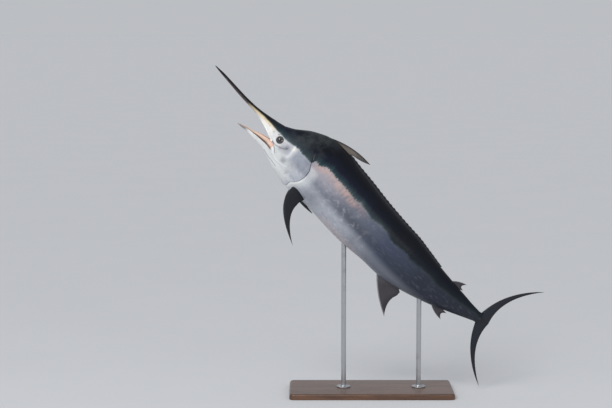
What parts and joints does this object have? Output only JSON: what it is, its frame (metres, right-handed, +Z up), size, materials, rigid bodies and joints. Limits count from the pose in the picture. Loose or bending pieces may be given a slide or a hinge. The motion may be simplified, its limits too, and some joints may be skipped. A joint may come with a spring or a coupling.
{
  "type": "black marlin model",
  "caption": "Life-size model of a black marlin leaping head up with its mouth open, on a flat base with rods.",
  "frame": {"origin": "middle of the model's outline seen from above, at the underside of the stand's base", "axes": "+Z up; the head and bill point to -X and up, the left flank faces -Y"},
  "size_m": [2.8574, 0.8674, 2.8401],
  "materials": {
    "skin": "wet gloss, dark back and silver flank",
    "fins": "wet satin",
    "eyes": "polished",
    "base": "satin varnish",
    "rods": "brushed"
  },
  "bodies": {
    "root": {"bill": "skin", "lower_jaw": "skin", "head": "skin", "torso_front": "skin", "torso_rear": "skin", "tail_base": "skin", "tail_stalk": "skin", "tail_fin_upper": "fins", "tail_fin_lower": "fins", "first_dorsal_lobe": "fins", "first_dorsal_rear": "fins", "second_dorsal": "fins", "first_anal": "fins", "second_anal": "fins", "pectoral_left": "fins", "pectoral_right": "fins", "pelvic_left": "fins", "pelvic_right": "fins", "eye_left": "eyes", "eye_right": "eyes", "stand_base": "base", "stand_rod_front": "rods", "stand_rod_rear": "rods"}
  },
  "joints": []
}
